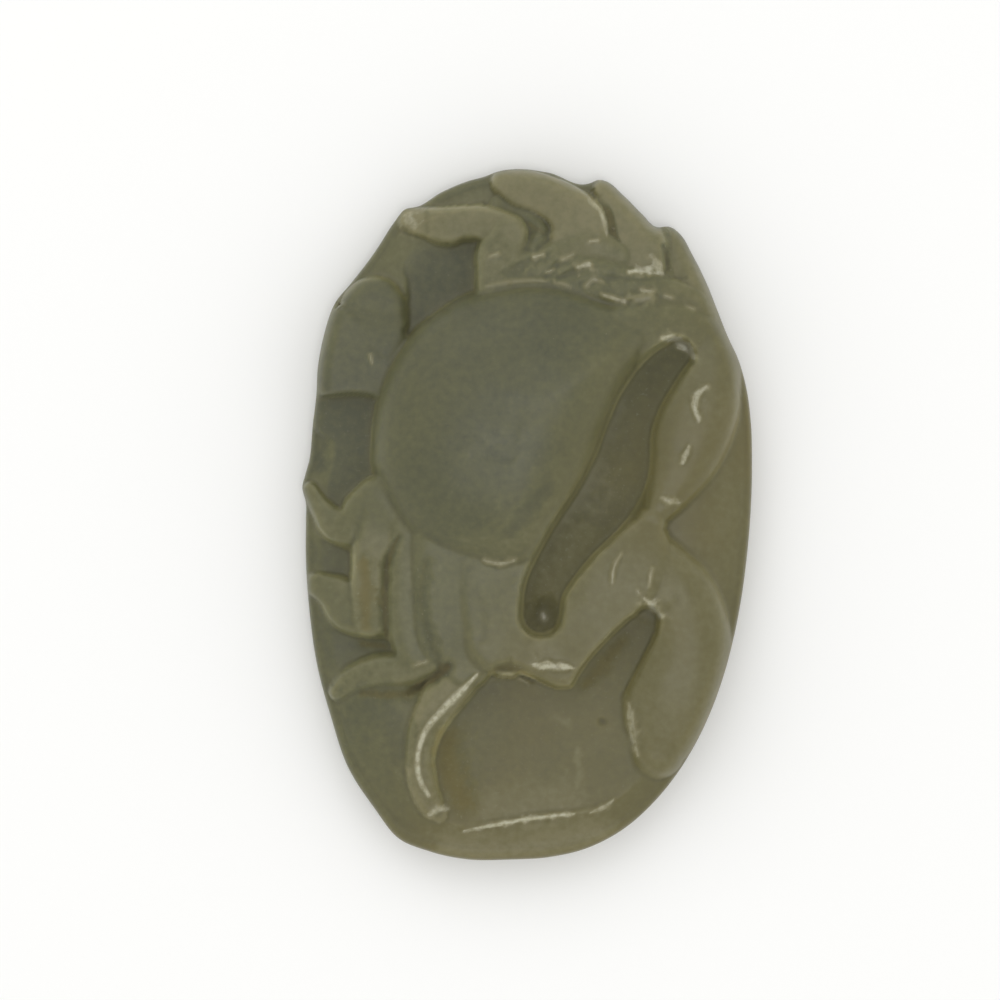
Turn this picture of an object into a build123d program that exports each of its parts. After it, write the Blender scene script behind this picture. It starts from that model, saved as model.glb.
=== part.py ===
from build123d import *
from math import cos, radians, sin
import os

# A carved soapstone pendant: an oval, pebble-like stone with a crab in relief on its face.
# It lies on its flat back. Millimetres, +Z up out of the carved face, +Y towards the end
# that hangs uppermost, origin at the middle of the back.

# Stone
stone_length = 54.0
stone_width = 35.4
stone_thickness = 10.4
edge_height = 3.0
ground_height = 5.6
back_inset = 2.3
crown_inset = 6.0
edge_steps = 4
crown_steps = 5

# Crab's shell
shell_width = 22.5
shell_length = 21.8
shell_root = 1.6

# Crab's limbs: widths, and how far their crests stand above the ground
leg_width = 2.8
leg_rise = 1.9
arm_width = 5.4
arm_rise = 2.2
claw_width = 5.9
claw_rise = 2.7
brow_width = 3.2
brow_rise = 2.0
limb_root = 1.3

# Hollows carved into the ground, by the height of their floors
groove_floor = 4.1
gap_floor = 4.4
basin_floor = 4.9
recess_floor = 4.7
pit_diameter = 2.6
pit_depth = 0.7

# Cord hole, drilled across the upper end below the widest line
cord_hole_diameter = 1.8
cord_hole_height = 1.9
cord_hole_setback = 3.4

# The stone's outline: shares of its half width and half length, clockwise from the top
OUTLINE = [
    # across, along
    (-0.04, 1.0), (0.35, 0.945), (0.64, 0.79), (0.83, 0.57), (0.95, 0.36), (1.00, 0.13),
    (0.97, -0.10), (0.89, -0.39), (0.71, -0.67), (0.41, -0.90), (0.0, -0.995), (-0.40, -0.98),
    (-0.73, -0.79), (-0.91, -0.50), (-0.98, -0.20), (-0.985, 0.04), (-0.93, 0.30), (-0.90, 0.48),
    (-0.75, 0.69), (-0.53, 0.87), (-0.30, 0.95),
]

# The shell's outline, in shares of its half sizes about its middle
SHELL_MIDDLE = (-0.049, 0.264)
SHELL_OUTLINE = [
    # across, along
    (-1.0, -0.16), (-0.97, 0.13), (-0.83, 0.47), (-0.56, 0.78), (-0.21, 0.96), (0.13, 1.0),
    (0.48, 0.94), (0.83, 0.80), (1.0, 0.65), (0.83, 0.40), (0.65, 0.02), (0.51, -0.36),
    (0.31, -0.68), (0.06, -0.98), (-0.18, -0.98), (-0.49, -0.86), (-0.77, -0.68), (-0.94, -0.42),
]

# The shell's dome: shares of its rise above the ground, and of its outline's size
SHELL_DOME = [
    # rise, size
    (0.0, 0.995), (0.28, 0.975), (0.50, 0.92), (0.68, 0.835), (0.82, 0.71), (0.92, 0.54),
    (0.98, 0.33), (1.0, 0.12),
]

# Limbs, root to tip. Places are shares of the stone's half width and half length, and the
# last two columns are shares of the limb's named width and rise.
ARM = [
    # across, along, width, rise
    (0.84, 0.49, 0.46, 0.55), (0.79, 0.40, 0.82, 0.82), (0.765, 0.33, 1.0, 0.95),
    (0.72, 0.21, 0.98, 1.0), (0.68, 0.12, 0.78, 0.92), (0.62, 0.04, 0.50, 0.78),
    (0.57, -0.03, 0.40, 0.72),
]
CLAW_FIXED_FINGER = [
    # across, along, width, rise
    (0.57, -0.03, 0.36, 0.60), (0.47, -0.14, 0.90, 1.0), (0.34, -0.26, 0.92, 0.96),
    (0.23, -0.37, 0.72, 0.76), (0.155, -0.45, 0.54, 0.56), (0.12, -0.50, 0.22, 0.30),
]
CLAW_FREE_FINGER = [
    # across, along, width, rise
    (0.59, -0.05, 0.38, 0.60), (0.69, -0.21, 0.98, 0.82), (0.72, -0.37, 0.98, 0.62),
    (0.65, -0.53, 1.04, 0.40), (0.59, -0.67, 0.78, 0.14), (0.55, -0.76, 0.36, -0.10),
]
TUCKED_CLAW = [
    # across, along, width, rise
    (-0.62, 0.68, 0.30, 0.15), (-0.67, 0.62, 0.74, 0.36), (-0.71, 0.50, 1.10, 0.46),
    (-0.76, 0.40, 0.86, 0.40), (-0.79, 0.35, 0.72, 0.20),
]
LEG_1_SHIN = [
    # across, along, width, rise
    (-0.55, 0.85, 0.50, -0.35), (-0.385, 0.835, 0.88, 0.32), (-0.21, 0.832, 1.0, 0.64),
    (-0.075, 0.80, 0.98, 0.86),
]
LEG_1_THIGH = [
    # across, along, width, rise
    (-0.065, 0.83, 0.66, 0.70), (-0.12, 0.75, 0.98, 0.92), (-0.165, 0.67, 0.94, 1.0),
    (-0.17, 0.63, 0.75, 1.0),
]
LEG_2 = [
    # across, along, width, rise
    (-0.145, 0.957, 0.46, -0.30), (-0.075, 0.945, 0.86, 0.10), (0.035, 0.92, 0.96, 0.42),
    (0.17, 0.88, 1.04, 0.66), (0.275, 0.835, 0.98, 0.82), (0.30, 0.76, 0.90, 0.84),
]
LEG_3 = [
    # across, along, width, rise
    (0.325, 0.94, 0.68, -0.10), (0.42, 0.88, 1.0, 0.34), (0.50, 0.80, 1.14, 0.60),
    (0.54, 0.72, 0.94, 0.70),
]
LEG_4 = [
    # across, along, width, rise
    (0.625, 0.805, 0.46, -0.30), (0.68, 0.73, 0.76, 0.06), (0.73, 0.64, 1.0, 0.36),
]
LEG_5 = [
    # across, along, width, rise
    (-0.57, 0.04, 1.24, 0.92), (-0.77, -0.045, 1.16, 0.66), (-0.88, -0.023, 0.80, 0.34),
    (-0.935, 0.032, 0.56, 0.02), (-0.972, 0.082, 0.38, -0.35),
]
LEG_6_THIGH = [
    # across, along, width, rise
    (-0.615, -0.05, 1.0, 0.88), (-0.695, -0.135, 0.88, 0.76), (-0.708, -0.25, 0.94, 0.56),
    (-0.71, -0.315, 0.86, 0.40),
]
LEG_6_SHIN = [
    # across, along, width, rise
    (-0.70, -0.27, 1.30, 0.52), (-0.83, -0.24, 1.04, 0.22), (-0.93, -0.20, 0.62, -0.30),
]
LEG_7_THIGH = [
    # across, along, width, rise
    (-0.50, -0.09, 0.88, 1.0), (-0.55, -0.21, 0.94, 0.92), (-0.545, -0.32, 1.0, 0.76),
    (-0.50, -0.40, 0.92, 0.66),
]
LEG_7_SHIN = [
    # across, along, width, rise
    (-0.385, -0.41, 0.80, 0.66), (-0.53, -0.435, 0.92, 0.58), (-0.69, -0.455, 0.74, 0.24),
    (-0.80, -0.495, 0.50, -0.10), (-0.86, -0.54, 0.26, -0.45),
]
LEG_8_THIGH = [
    # across, along, width, rise
    (-0.385, -0.13, 1.12, 1.05), (-0.36, -0.265, 1.30, 1.0), (-0.295, -0.38, 1.24, 0.92),
    (-0.25, -0.46, 1.10, 0.80),
]
LEG_8_SHIN = [
    # across, along, width, rise
    (-0.235, -0.43, 1.18, 0.84), (-0.32, -0.51, 1.10, 0.74), (-0.40, -0.585, 1.04, 0.62),
    (-0.455, -0.68, 0.94, 0.46), (-0.472, -0.77, 0.86, 0.26), (-0.43, -0.845, 0.62, 0.0),
    (-0.39, -0.88, 0.32, -0.30),
]
LAST_LOBE = [
    # across, along, width, rise
    (-0.14, -0.16, 1.38, 1.05), (-0.12, -0.28, 1.54, 1.0), (-0.09, -0.39, 1.24, 0.86),
    (-0.07, -0.445, 0.72, 0.66),
]
BROW = [
    # across, along, width, rise
    (-0.14, 0.69, 0.74, 0.80), (0.08, 0.715, 0.98, 0.84), (0.28, 0.70, 1.04, 0.88),
    (0.50, 0.645, 1.20, 0.92), (0.70, 0.60, 1.12, 0.72), (0.83, 0.52, 0.72, 0.40),
]
SHOULDER = [
    # across, along, width, rise
    (0.36, 0.60, 1.20, 1.10), (0.52, 0.57, 1.30, 1.20), (0.70, 0.55, 1.10, 1.0),
    (0.82, 0.49, 0.80, 0.70),
]

# Hollows, as shares of the stone's half width and half length, clockwise from the top
GROOVE = [
    # across, along
    (0.62, 0.515), (0.72, 0.475), (0.71, 0.42), (0.61, 0.33), (0.555, 0.20), (0.545, 0.05),
    (0.42, -0.01), (0.27, -0.11), (0.185, -0.22), (0.14, -0.32), (0.07, -0.36), (-0.01, -0.29),
    (-0.01, -0.19), (0.06, -0.11), (0.17, 0.0), (0.27, 0.115), (0.34, 0.225), (0.42, 0.34),
    (0.50, 0.45),
]
CLAW_GAP = [
    # across, along
    (0.52, -0.265), (0.575, -0.30), (0.565, -0.37), (0.52, -0.44), (0.43, -0.53), (0.41, -0.61),
    (0.28, -0.62), (0.15, -0.55), (0.21, -0.48), (0.36, -0.365), (0.46, -0.275),
]
BASIN = [
    # across, along
    (0.0, -0.46), (0.14, -0.515), (0.28, -0.575), (0.40, -0.64), (0.44, -0.74), (0.40, -0.82),
    (0.20, -0.865), (-0.10, -0.885), (-0.28, -0.905), (-0.36, -0.85), (-0.38, -0.74),
    (-0.33, -0.63), (-0.24, -0.52), (-0.14, -0.45),
]
UPPER_RECESS = [
    # across, along
    (-0.51, 0.79), (-0.36, 0.785), (-0.23, 0.77), (-0.21, 0.69), (-0.23, 0.63), (-0.39, 0.565),
    (-0.50, 0.52), (-0.545, 0.585), (-0.57, 0.655), (-0.62, 0.70),
]
SIDE_RECESS = [
    # across, along
    (-0.87, 0.335), (-0.68, 0.34), (-0.68, 0.24), (-0.65, 0.10), (-0.75, 0.075), (-0.82, 0.02),
    (-0.87, 0.02), (-0.91, 0.10), (-0.92, 0.22),
]
LEG_GAP = [
    # across, along
    (-0.90, -0.095), (-0.80, -0.11), (-0.76, -0.18), (-0.86, -0.17),
]
LOWER_RECESS = [
    # across, along
    (-0.86, -0.29), (-0.77, -0.345), (-0.63, -0.365), (-0.62, -0.40), (-0.78, -0.425),
    (-0.86, -0.37),
]
PIT_MIDDLE = (0.071, -0.293)


def on_stone(across, along):
    """Turn shares of the stone's half width and half length into a place."""
    return across * stone_width / 2, along * stone_length / 2


def oval(table, middle, width, length):
    """Place an outline's shares about a middle, at a full width and length."""
    return [(middle[0] + across * width / 2, middle[1] + along * length / 2) for across, along in table]


def stone_sections():
    """Give each height of the bare stone, from the back up, with the size of its outline there."""
    sections = []
    for step in range(edge_steps, 0, -1):
        turn = radians(90 * step / edge_steps)
        inset = back_inset * (1 - cos(turn))
        sections.append((edge_height * (1 - sin(turn)), 1 - 2 * inset / stone_width))
    for step in range(crown_steps + 1):
        turn = radians(90 * step / crown_steps)
        inset = crown_inset * (1 - cos(turn))
        height = edge_height + (ground_height - edge_height) * sin(turn)
        sections.append((height, 1 - 2 * inset / stone_width))
    return sections


def shell_sections():
    """Give each height of the shell with the size of its outline there."""
    dome_rise = stone_thickness - ground_height
    root = [(ground_height - shell_root, 1.0)]
    return root + [(ground_height + rise * dome_rise, size) for rise, size in SHELL_DOME]


def limb_sections(rows, width, rise):
    """Give an upright plane across the limb at each row, with its section's half width and half height."""
    places = [Vector(*on_stone(row[0], row[1])) for row in rows]
    sections = []
    for index, row in enumerate(rows):
        before = places[max(index - 1, 0)]
        after = places[min(index + 1, len(rows) - 1)]
        along = (after - before).normalized()
        middle = Vector(places[index].X, places[index].Y, ground_height - limb_root)
        plane = Plane(origin=middle, x_dir=Vector(-along.Y, along.X, 0), z_dir=along)
        sections.append((plane, row[2] * width / 2, limb_root + row[3] * rise))
    return sections


LIMBS = [
    # rows, width, rise
    (BROW, brow_width, brow_rise),
    (SHOULDER, brow_width, brow_rise),
    (ARM, arm_width, arm_rise),
    (CLAW_FIXED_FINGER, claw_width, claw_rise),
    (CLAW_FREE_FINGER, claw_width, claw_rise),
    (TUCKED_CLAW, claw_width, claw_rise),
    (LEG_1_SHIN, leg_width, leg_rise),
    (LEG_1_THIGH, leg_width, leg_rise),
    (LEG_2, leg_width, leg_rise),
    (LEG_3, leg_width, leg_rise),
    (LEG_4, leg_width, leg_rise),
    (LEG_5, leg_width, leg_rise),
    (LEG_6_THIGH, leg_width, leg_rise),
    (LEG_6_SHIN, leg_width, leg_rise),
    (LEG_7_THIGH, leg_width, leg_rise),
    (LEG_7_SHIN, leg_width, leg_rise),
    (LEG_8_THIGH, leg_width, leg_rise),
    (LEG_8_SHIN, leg_width, leg_rise),
    (LAST_LOBE, leg_width, leg_rise),
]

RECESSES = [
    # outline, floor
    (UPPER_RECESS, recess_floor),
    (SIDE_RECESS, recess_floor),
    (LEG_GAP, recess_floor),
    (LOWER_RECESS, recess_floor),
    (BASIN, basin_floor),
]

CUTS = [
    # outline, floor
    (GROOVE, groove_floor),
    (CLAW_GAP, gap_floor),
]

with BuildPart() as carved_stone:
    # The bare stone, lofted up from its back
    for height, size in stone_sections():
        with BuildSketch(Plane.XY.offset(height)):
            with BuildLine():
                Spline(*oval(OUTLINE, (0, 0), stone_width * size, stone_length * size), periodic=True)
            make_face()
    loft(ruled=True)

    # Recesses carved into the ground round the crab
    recesses = []
    for outline, floor in RECESSES:
        with BuildSketch(Plane.XY.offset(floor)):
            with BuildLine():
                Spline(*oval(outline, (0, 0), stone_width, stone_length), periodic=True)
            make_face()
        recesses.append(extrude(amount=stone_thickness, mode=Mode.PRIVATE))
    add(recesses, mode=Mode.SUBTRACT)

    # The shell's dome
    for height, size in shell_sections():
        with BuildSketch(Plane.XY.offset(height)):
            with BuildLine():
                Spline(
                    *oval(SHELL_OUTLINE, on_stone(*SHELL_MIDDLE), shell_width * size, shell_length * size),
                    periodic=True,
                )
            make_face()
    loft(ruled=True)

    # Arm, claws, legs and brow, each a loft of upright ovals
    limbs = []
    for rows, width, rise in LIMBS:
        for plane, half_wide, half_high in limb_sections(rows, width, rise):
            with BuildSketch(plane):
                Ellipse(half_high, half_wide, rotation=-90)
        limbs.append(loft(mode=Mode.PRIVATE))
    add(limbs)

    # The deep groove between shell and arm, and the gap between the claw's fingers
    cuts = []
    for outline, floor in CUTS:
        with BuildSketch(Plane.XY.offset(floor)):
            with BuildLine():
                Spline(*oval(outline, (0, 0), stone_width, stone_length), periodic=True)
            make_face()
        cuts.append(extrude(amount=stone_thickness, mode=Mode.PRIVATE))

    # The round pit at the groove's lower end
    with Locations((*on_stone(*PIT_MIDDLE), groove_floor - pit_depth + pit_diameter / 2)):
        cuts.append(Sphere(pit_diameter / 2, mode=Mode.PRIVATE))

    # The cord hole, straight across the upper end
    with BuildSketch(Plane.YZ):
        with Locations((stone_length / 2 - cord_hole_setback, cord_hole_height)):
            Circle(cord_hole_diameter / 2)
    cuts.append(extrude(amount=stone_width, both=True, mode=Mode.PRIVATE))
    add(cuts, mode=Mode.SUBTRACT)

carved_stone.part.label = "carved_stone"
os.makedirs("parts", exist_ok=True)
export_step(carved_stone.part, "parts/carved_stone.step")
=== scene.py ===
"""A soapstone crab pendant: a small oval stone with a crab carved in relief on its face."""

import math

import bpy
import mathutils
import numpy as np
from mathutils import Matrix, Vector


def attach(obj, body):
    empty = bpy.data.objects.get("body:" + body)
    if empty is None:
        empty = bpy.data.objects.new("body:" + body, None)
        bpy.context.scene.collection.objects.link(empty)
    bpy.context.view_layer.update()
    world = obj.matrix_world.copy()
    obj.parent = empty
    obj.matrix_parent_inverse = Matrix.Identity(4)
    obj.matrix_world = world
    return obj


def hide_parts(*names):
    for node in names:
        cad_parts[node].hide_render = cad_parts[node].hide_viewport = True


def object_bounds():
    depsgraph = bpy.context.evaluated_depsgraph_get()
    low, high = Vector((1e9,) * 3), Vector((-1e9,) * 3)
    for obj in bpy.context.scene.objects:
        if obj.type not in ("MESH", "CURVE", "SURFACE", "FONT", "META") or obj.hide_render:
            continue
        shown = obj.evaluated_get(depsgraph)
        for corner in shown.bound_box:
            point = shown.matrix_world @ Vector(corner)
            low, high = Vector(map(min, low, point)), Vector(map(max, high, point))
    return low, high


bl_info = {
    "name": "Carved Crab Pendant",
    "version": (1, 0, 0),
    "blender": (4, 5, 0),
    "location": "View3D > Sidebar > Crab",
    "description": "Carves a crab in relief on an oval soapstone pendant and sets it on a pale table",
    "category": "Object",
}

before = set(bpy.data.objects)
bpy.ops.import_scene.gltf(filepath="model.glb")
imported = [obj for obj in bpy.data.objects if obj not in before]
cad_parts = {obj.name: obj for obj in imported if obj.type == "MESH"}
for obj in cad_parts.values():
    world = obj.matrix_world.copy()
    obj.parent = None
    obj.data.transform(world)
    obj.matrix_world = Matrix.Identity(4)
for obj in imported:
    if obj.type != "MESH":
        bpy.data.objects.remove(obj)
BOX_LOW, BOX_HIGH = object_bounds()
BOX_SIZE = BOX_HIGH - BOX_LOW

MM = 0.001

# The carving's drawing, seen from above: x goes right, y goes down and heights are in mm.
# The drawn widths are half the width of a full leg, claw, hollow, groove and trim.
DRAWING_MIDDLE = (527, 514)
DRAWING_HALF = (226, 345)
DRAWN_GROUND = 5.6
DRAWN_TOP = 10.4
DRAWN_LEG = 16
DRAWN_CLAW = 34
DRAWN_HOLLOW = 20
DRAWN_GROOVE = 20
DRAWN_TRIM = 5

# The stone's outline in the drawing, clockwise from the top. Its little steps are the tips of
# legs that reach the edge.
OUTLINE = [
    # x, y
    (497, 172.7), (516, 170), (548, 173.4), (590, 184), (598, 180.8), (606, 182.2), (624, 197),
    (642, 215), (657, 228), (669, 227.5), (681, 236), (692, 255), (706, 283), (718, 313),
    (728, 338), (739, 362), (747, 392), (751, 425), (752, 462), (748, 545), (733, 640), (720, 686),
    (703, 728), (681, 767), (655, 800), (625, 827), (590, 846), (550, 856), (510, 858.5),
    (465, 858), (428.5, 850), (397, 836), (375, 808), (347, 764), (331, 716), (317.5, 666),
    (309.5, 610), (306, 560), (306, 520), (306, 503), (302.5, 487), (305, 476), (309, 462),
    (313, 425), (316.5, 395), (318, 368), (324, 336), (335, 304), (351, 284), (374, 254),
    (395, 222), (404, 211), (419, 207), (440, 194), (468, 182), (486, 177),
]

# The shell's outline in the drawing
SHELL_MIDDLE = (513, 421)
SHELL_OUTLINE = [
    # x, y
    (372, 445), (374, 420), (379, 395), (388, 370), (400, 350), (416, 330), (435, 315), (460, 299),
    (490, 288), (520, 283.5), (550, 283.5), (575, 289), (600, 298), (625, 307), (645, 318),
    (658, 330), (652, 345), (645, 355), (635, 370), (625, 388), (615, 410), (605, 432), (597, 455),
    (588, 478), (577, 500), (566, 522), (556, 541), (545, 558), (530, 571), (505, 574), (486, 571),
    (465, 565), (445, 557), (421, 546), (401, 529), (388, 508), (378, 484), (372, 464),
]

# Strokes of the carving. A stroke is a path across the face of the drawing. Its height is in mm
# above the back, and a trim's rise is in mm above what it rides on. Tone goes from -1, deep green
# that also stands for painted shade, over 1, warm that also stands for painted light through thin
# stone, to 2, a pale painted highlight. Grain goes from -1, glossy, over 1, left rough, to 2, rough
# and rust brown. Edge is how square a limb's section is, how wide a hollow's wall is, or how ragged
# a trim is.
FAR_CLAW = [
    # name, tone, grain, edge, rows of x, y, half width, height
    ("tucked claw", -0.52, 0.1, 6, [
        (374, 311, 33, 6.3), (369, 332, 44, 6.5), (359, 337, 50, 6.5), (354, 360, 52, 6.4),
        (350, 394, 50, 6.2),
    ]),
]

# The hollows and the cuts further on are toned darker: partly the stone's deeper green, partly painted
# shade.
HOLLOWS = [
    # name, tone, grain, edge, rows of x, y, half width, height
    ("upper recess", -0.7, 0.4, 3, [
        (466, 258, 42, 4.9), (434, 262, 44, 4.9), (430, 284, 38, 4.9), (423, 311, 27, 4.9),
    ]),
    ("upper recess foot", -0.7, 0.4, 1, [
        (474, 282, 28, 4.9), (448, 288, 32, 4.9), (430, 306, 28, 4.9), (421, 321, 19, 4.9),
        (414, 332, 12, 4.9),
    ]),
    ("side recess", -0.8, 0.5, 0.5, [
        (296, 430, 35, 4.9), (330, 430, 35, 4.9), (364, 430, 35, 4.9), (358, 450, 32, 4.9),
        (346, 474, 27, 4.9), (336, 496, 17, 4.9),
    ]),
    ("side recess edge", -0.8, 0.5, 0.5, [(296, 440, 38, 4.9), (318, 462, 26, 4.9)]),
    ("gap under leg 5", -0.5, 0.3, 1, [(302, 549, 24, 4.5), (330, 561, 23, 4.6), (352, 567, 19, 4.7)]),
    ("gap under leg 6", -0.35, 0.3, 1.5, [(322, 648, 29, 4.7), (352, 651, 28, 4.7), (388, 654, 22, 4.9)]),
    ("gap under leg 7", -0.2, 1.6, 2, [(410, 690, 12, 5.3), (427, 681, 14, 5.2), (444, 670, 12, 5.2)]),
    ("basin", -0.27, 0.3, 1, [(500, 740, 78, 4.8), (530, 738, 78, 4.8), (566, 736, 78, 4.8)]),
    ("basin side", -0.27, 0.3, 1, [(560, 738, 60, 4.8), (600, 742, 60, 4.8)]),
    ("basin foot", -0.27, 0.3, 1, [
        (464, 788, 40, 4.8), (500, 783, 40, 4.8), (540, 777, 40, 4.8), (580, 773, 40, 4.8),
        (600, 766, 40, 4.8),
    ]),
]

LEGS = [
    # name, tone, grain, edge, rows of x, y, half width, height
    ("web 1", -0.35, 0.4, 2, [
        (500, 208, 14, 5.6), (516, 216, 18, 5.95), (530, 224, 18, 6.35), (540, 237, 18, 6.75),
        (533, 252, 18, 7.1),
    ]),
    ("web 2", -0.6, 1.5, 3, [
        (602, 200, 8, 5.6), (608, 216, 9, 6.3), (613, 238, 11, 6.6), (616, 252, 13, 6.9),
    ]),
    ("web 3", -0.1, 0.9, 3, [(662, 236, 9, 6), (664, 256, 7, 6.1), (668, 276, 7, 6.5)]),
    ("leg 1 shin", 0.5, 0.1, 8, [
        (410, 221, 12, 5.2), (430, 225, 16, 6.2), (447, 228, 19, 6.5), (463, 225, 17, 6.6),
        (485, 226, 18, 6.8), (508, 236, 20, 7.1),
    ]),
    ("leg 1 thigh", 0.2, 0.1, 8, [
        (508, 238, 21, 7.1), (500, 258, 24, 7.3), (496, 280, 20, 7.4), (494, 298, 18, 7.4),
    ]),
    ("leg 2", 0.75, 0, 8, [
        (505, 184, 14, 5.7), (520, 190, 20, 6.1), (542, 197, 21, 6.4), (564, 209, 24, 6.7),
        (577, 226, 30, 6.9), (578, 246, 30, 7),
    ]),
    ("leg 2 thigh", 0.25, 0.1, 5, [
        (616, 260, 19, 7), (588, 250, 22, 7.1), (562, 262, 24, 7.3), (535, 276, 22, 7.4),
    ]),
    ("leg 3", 0.75, 0, 8, [
        (604, 191, 11, 5.5), (614, 205, 16, 6.1), (628, 224, 23, 6.5), (638, 243, 26, 6.8),
        (641, 266, 24, 6.9),
    ]),
    ("leg 4", 0.5, 0, 6, [
        (674, 240, 16, 5.4), (682, 259, 24, 6), (690, 284, 28, 6.4), (698, 306, 26, 6.8),
    ]),
    ("leg 5", 0, 0.1, 6, [
        (384, 506, 32, 7.2), (362, 520, 28, 6.9), (338, 524, 19, 6.4), (322, 508, 11, 5.8),
        (311, 490, 8, 5.2),
    ]),
    ("leg 6 shin", 0.05, 0.1, 6, [
        (374, 608, 29, 6.5), (352, 604, 28, 6.3), (334, 592, 19, 5.9), (319, 584, 13, 5.3),
    ]),
    ("leg 6 thigh", 0.35, 0.1, 8, [
        (380, 530, 26, 7), (371, 555, 19, 6.9), (371, 585, 20, 6.7), (371, 616, 20, 6.5),
    ]),
    ("leg 7 shin", 0.2, 0, 5, [
        (430, 655, 21, 6.9), (405, 667, 17, 6.6), (378, 669, 16, 6.2), (353, 678, 13, 5.7),
        (339, 690, 10, 5.2),
    ]),
    ("leg 7 thigh", -0.02, 0, 6, [
        (422, 530, 38, 7.3), (417, 575, 31, 7.1), (418, 612, 32, 7), (424, 642, 31, 6.9),
    ]),
    ("leg 8 thigh", -0.12, 0, 8, [
        (456, 540, 44, 7.9), (453, 590, 40, 7.7), (455, 632, 38, 7.4), (466, 660, 28, 7.1),
    ]),
    ("leg 8 shin", 0.7, 0, 5, [
        (468, 664, 22, 7.1), (450, 686, 22, 6.9), (436, 706, 20, 6.7), (424, 731, 17, 6.4),
        (420, 758, 15, 6.1), (424, 786, 15, 5.8), (433, 805, 13, 5.5), (440, 813, 9, 5.1),
    ]),
    ("last lobe", -0.12, 0, 8, [
        (500, 548, 50, 7.9), (502, 596, 48, 7.8), (504, 628, 42, 7.6), (506, 648, 28, 7.3),
    ]),
]

CLAWS = [
    # name, tone, grain, edge, rows of x, y, half width, height
    ("brow", 0, 0.2, 5, [
        (505, 277, 22, 7.3), (540, 273, 25, 7.4), (575, 277, 26, 7.4), (615, 288, 26, 7.5),
        (655, 302, 28, 7.4), (688, 314, 28, 7),
    ]),
    ("shoulder", -0.1, 0.1, 3, [
        (600, 340, 34, 8.6), (640, 332, 38, 8.3), (680, 332, 36, 7.7), (708, 352, 32, 7),
    ]),
    ("hand", 0.12, 0, 3, [(641, 539, 25, 7.3), (651, 566, 34, 7.5), (664, 592, 32, 7.4)]),
    ("arm", 0.05, 0, 3, [
        (706, 352, 34, 7.2), (703, 378, 38, 7.3), (697, 402, 44, 7.4), (688, 434, 44, 7.4),
        (680, 462, 38, 7.3), (667, 492, 26, 7.2), (654, 515, 16, 7.1),
    ]),
    ("fixed finger", 0.1, 0, 6, [
        (650, 522, 16, 7.2), (638, 550, 38, 7.6), (618, 578, 46, 7.7), (596, 610, 40, 7.6),
        (576, 640, 36, 7.4), (563, 658, 29, 7.2),
    ]),
    ("finger root", 0.05, 0, 8, [(504, 632, 44, 7.6), (536, 646, 30, 7.3), (562, 660, 27, 7.2)]),
    ("free finger", 0.3, 0, 2.6, [
        (648, 538, 18, 7.1), (665, 572, 35, 7.4), (679, 602, 43, 7.3), (684, 647, 48, 7),
        (674, 695, 54, 6.8), (664, 728, 46, 6.4), (657, 750, 28, 6),
    ]),
]

CUTS = [
    # name, tone, grain, edge, rows of x, y, half width, height
    ("groove", -0.45, 0.9, 0.7, [
        (676, 356, 18, 5.4), (660, 372, 22, 5.2), (641, 400, 24, 5.1), (629, 430, 26, 5), (620, 470, 32, 5),
        (603, 503, 32, 5), (572, 542, 27, 4.9), (546, 584, 23, 4.8), (541, 614, 22, 4.8),
    ]),
    ("claw gap", -0.22, 0.4, 0.7, [
        (646, 618, 14, 5.2), (641, 627, 18, 5), (624, 650, 23, 4.9), (606, 676, 27, 4.8),
        (590, 704, 28, 4.8), (570, 736, 26, 4.8),
    ]),
]

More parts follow.
